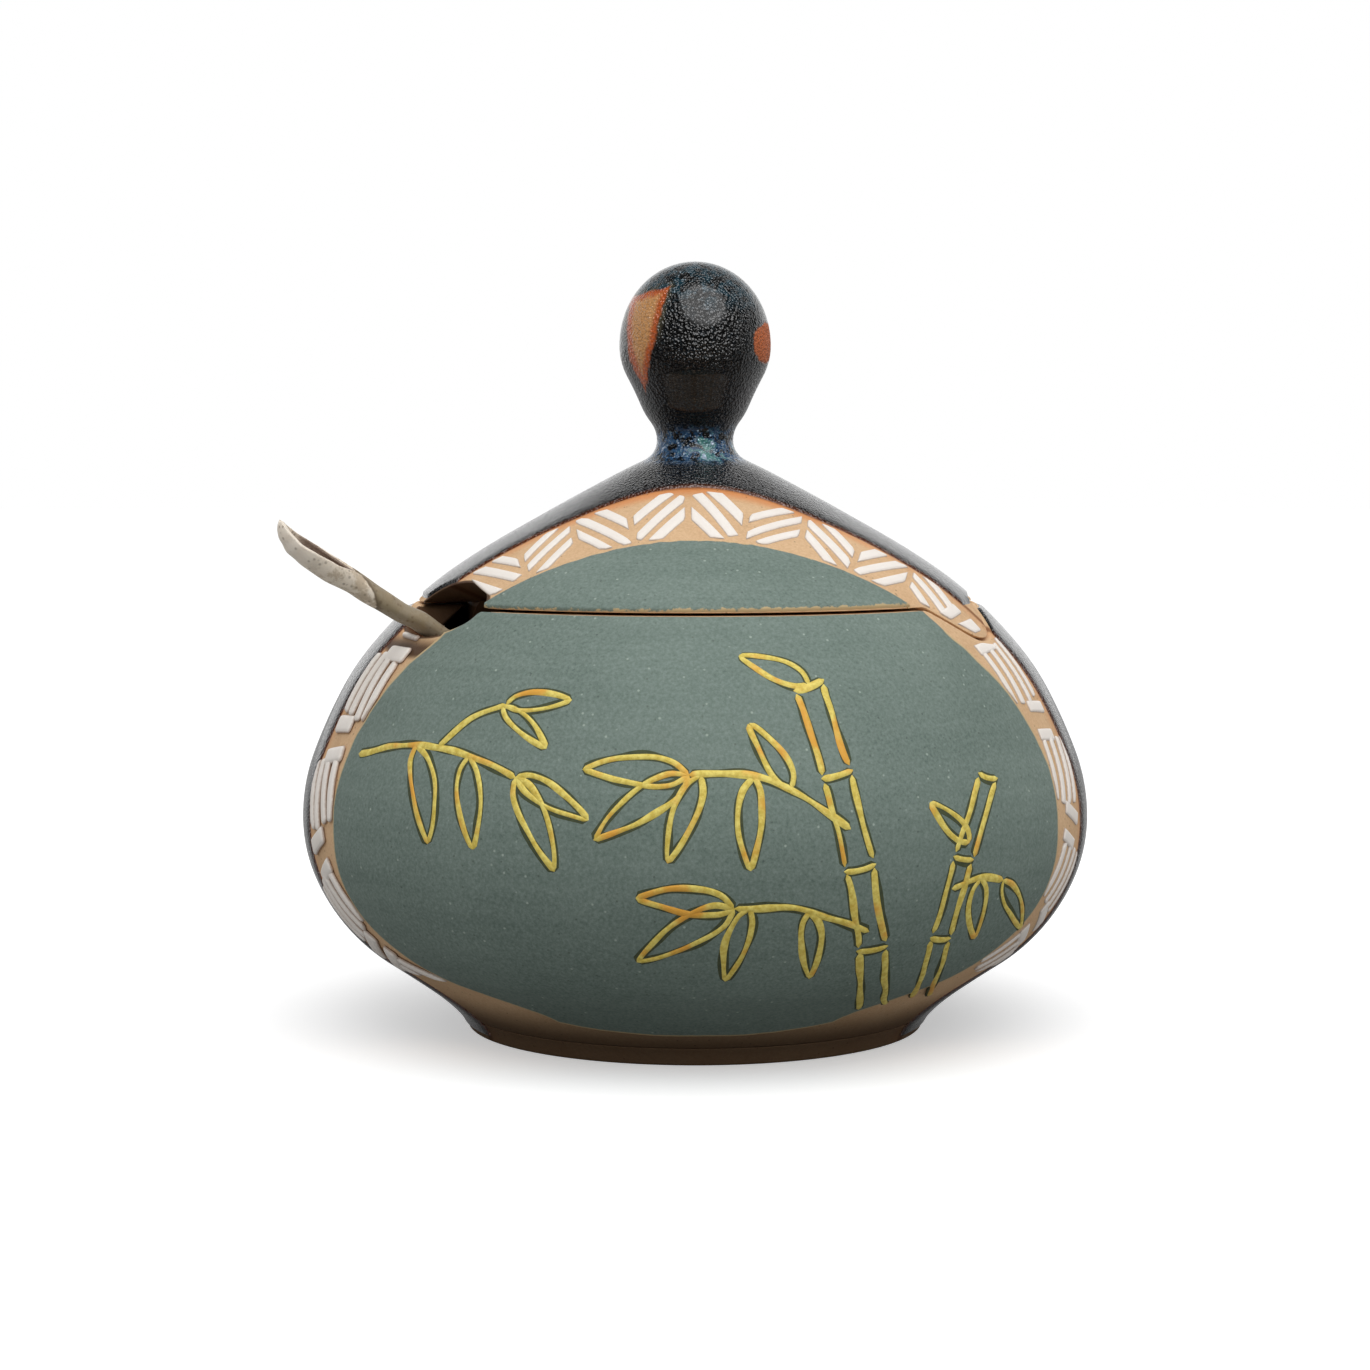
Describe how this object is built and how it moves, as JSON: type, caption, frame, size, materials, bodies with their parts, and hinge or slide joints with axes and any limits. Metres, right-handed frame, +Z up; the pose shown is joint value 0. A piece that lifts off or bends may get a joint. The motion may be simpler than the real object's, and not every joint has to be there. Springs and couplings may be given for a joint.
{
  "type": "lidded jar",
  "caption": "Squat round stoneware sugar jar with a keyed lift-off lid, pear-shaped knob, hatched bare band and a small spoon in a side slot.",
  "frame": {"origin": "centre of the foot ring on the table", "axes": "+Z up along the jar's axis; the green panel faces -Y and the spoon leaves at the front left"},
  "size_m": [0.1174, 0.1174, 0.1142],
  "materials": {
    "bare_clay": "matte, toothed stoneware",
    "green_slip": "satin matte, speckled",
    "black_glaze": "glossy, breaking rust and blue",
    "inside_glaze": "glossy",
    "white_slip": "matte, raised",
    "spoon_glaze": "satin, speckled"
  },
  "bodies": {
    "jar": {"jar_bowl": "bare_clay", "jar_shoulder": "bare_clay", "jar_foot_ring": "bare_clay", "jar_green_slip": "green_slip", "jar_black_glaze": "black_glaze", "jar_inside_glaze": "inside_glaze", "jar_band_strokes": "white_slip"},
    "lid": {"lid_dome": "bare_clay", "lid_locating_ring": "bare_clay", "lid_knob": "black_glaze", "lid_green_slip": "green_slip", "lid_black_glaze": "black_glaze", "lid_inside_glaze": "inside_glaze", "lid_band_strokes": "white_slip"},
    "spoon": {"spoon_bowl": "spoon_glaze", "spoon_handle": "spoon_glaze"}
  },
  "joints": [
    {"name": "lid_lift", "type": "slide", "parent": "jar", "child": "lid", "axis": [0, 0, 1], "range_m": [0, 0.06]},
    {"name": "spoon_slide", "type": "slide", "parent": "jar", "child": "spoon", "axis": [-0.7263, -0.4193, 0.5446], "range_m": [0, 0.112]}
  ]
}
